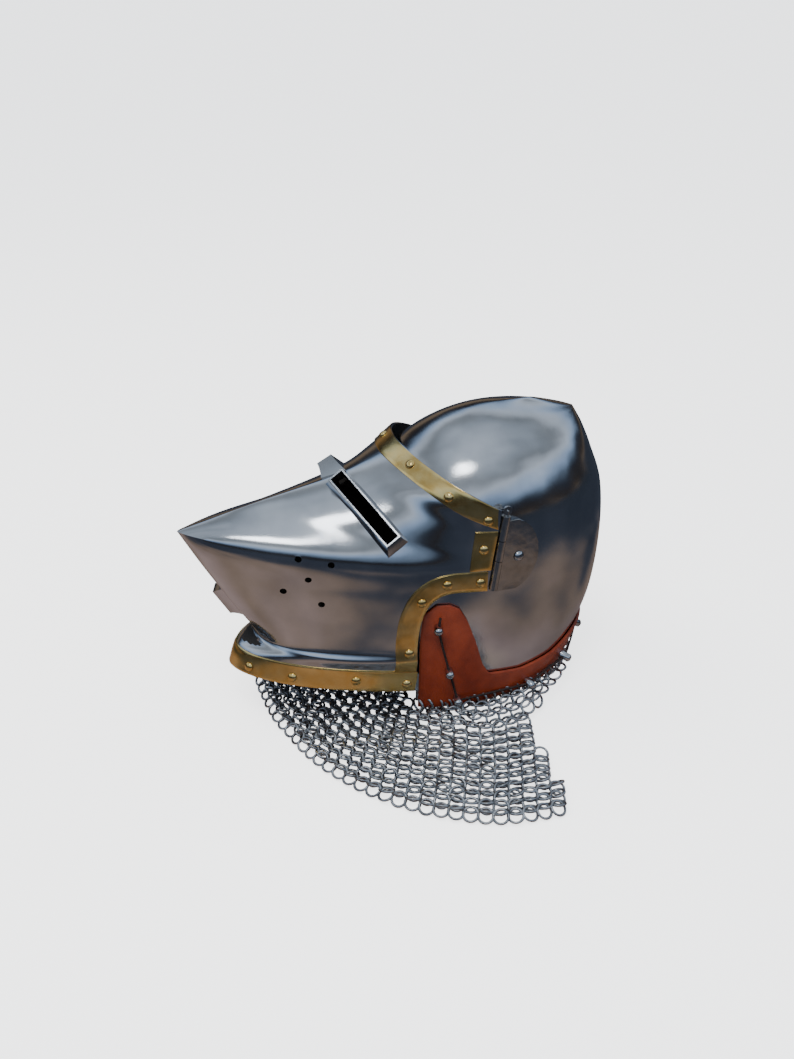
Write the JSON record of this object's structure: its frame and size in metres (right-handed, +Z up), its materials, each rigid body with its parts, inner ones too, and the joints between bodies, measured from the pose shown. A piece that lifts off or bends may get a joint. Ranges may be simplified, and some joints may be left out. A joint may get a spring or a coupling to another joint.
{
  "type": "visored bascinet helmet",
  "caption": "Steel helmet with a pointed skull, a hinged snout visor trimmed in riveted brass, and a ring-mail neck guard hung from a leather band.",
  "frame": {"origin": "middle of the bounding box on the floor that the mail lies on", "axes": "+Z up, -Y the way the snout points, +X the wearer's left"},
  "size_m": [0.5158, 0.4258, 0.289],
  "materials": {
    "polished_steel": "polished",
    "hinge_steel": "satin",
    "brass": "polished",
    "leather": "satin",
    "lace": "matt",
    "mail_steel": "satin"
  },
  "bodies": {
    "helmet": {"skull": "polished_steel", "leather_band": "leather", "lacing_cord": "lace", "aventail": "mail_steel", "pivot_rivet_left": "polished_steel", "pivot_rivet_right": "polished_steel", "vervelle_1_left": "polished_steel", "vervelle_1_right": "polished_steel", "vervelle_2_left": "polished_steel", "vervelle_2_right": "polished_steel", "vervelle_3_left": "polished_steel", "vervelle_3_right": "polished_steel", "vervelle_4_left": "polished_steel", "vervelle_4_right": "polished_steel", "vervelle_5_left": "polished_steel", "vervelle_5_right": "polished_steel", "vervelle_6_left": "polished_steel", "vervelle_6_right": "polished_steel"},
    "visor": {"visor": "polished_steel", "visor_leaf_left": "hinge_steel", "visor_leaf_right": "hinge_steel", "side_plate_left": "hinge_steel", "side_plate_right": "hinge_steel", "brow_strip": "brass", "rim_strip": "brass", "hinge_strip_left": "brass", "hinge_strip_right": "brass", "cheek_strip_left": "brass", "cheek_strip_right": "brass", "rivet_brow_front_left": "brass", "rivet_brow_front_right": "brass", "rivet_brow_middle_left": "brass", "rivet_brow_middle_right": "brass", "rivet_brow_rear_left": "brass", "rivet_brow_rear_right": "brass", "rivet_hinge_upper_left": "brass", "rivet_hinge_upper_right": "brass", "rivet_hinge_foot_left": "brass", "rivet_hinge_foot_right": "brass", "rivet_cheek_top_left": "brass", "rivet_cheek_top_right": "brass", "rivet_cheek_turn_left": "brass", "rivet_cheek_turn_right": "brass", "rivet_cheek_low_left": "brass", "rivet_cheek_low_right": "brass", "rivet_rim_corner_left": "brass", "rivet_rim_corner_right": "brass", "rivet_rim_rear_left": "brass", "rivet_rim_rear_right": "brass", "rivet_rim_middle_left": "brass", "rivet_rim_middle_right": "brass", "rivet_rim_front_left": "brass", "rivet_rim_front_right": "brass"},
    "left_pin": {"hinge_pin_left": "hinge_steel"},
    "right_pin": {"hinge_pin_right": "hinge_steel"}
  },
  "joints": [
    {"name": "visor_lift", "type": "hinge", "parent": "helmet", "child": "visor", "pos_m": [0, 0.084, 0.175], "axis": [-1, 0, 0], "range_deg": [0, 42]},
    {"name": "left_pin_pull", "type": "slide", "parent": "visor", "child": "left_pin", "axis": [0, 0.1357, 0.9907], "range_m": [0, 0.085]},
    {"name": "right_pin_pull", "type": "slide", "parent": "visor", "child": "right_pin", "axis": [0, 0.1357, 0.9907], "range_m": [0, 0.085]}
  ]
}
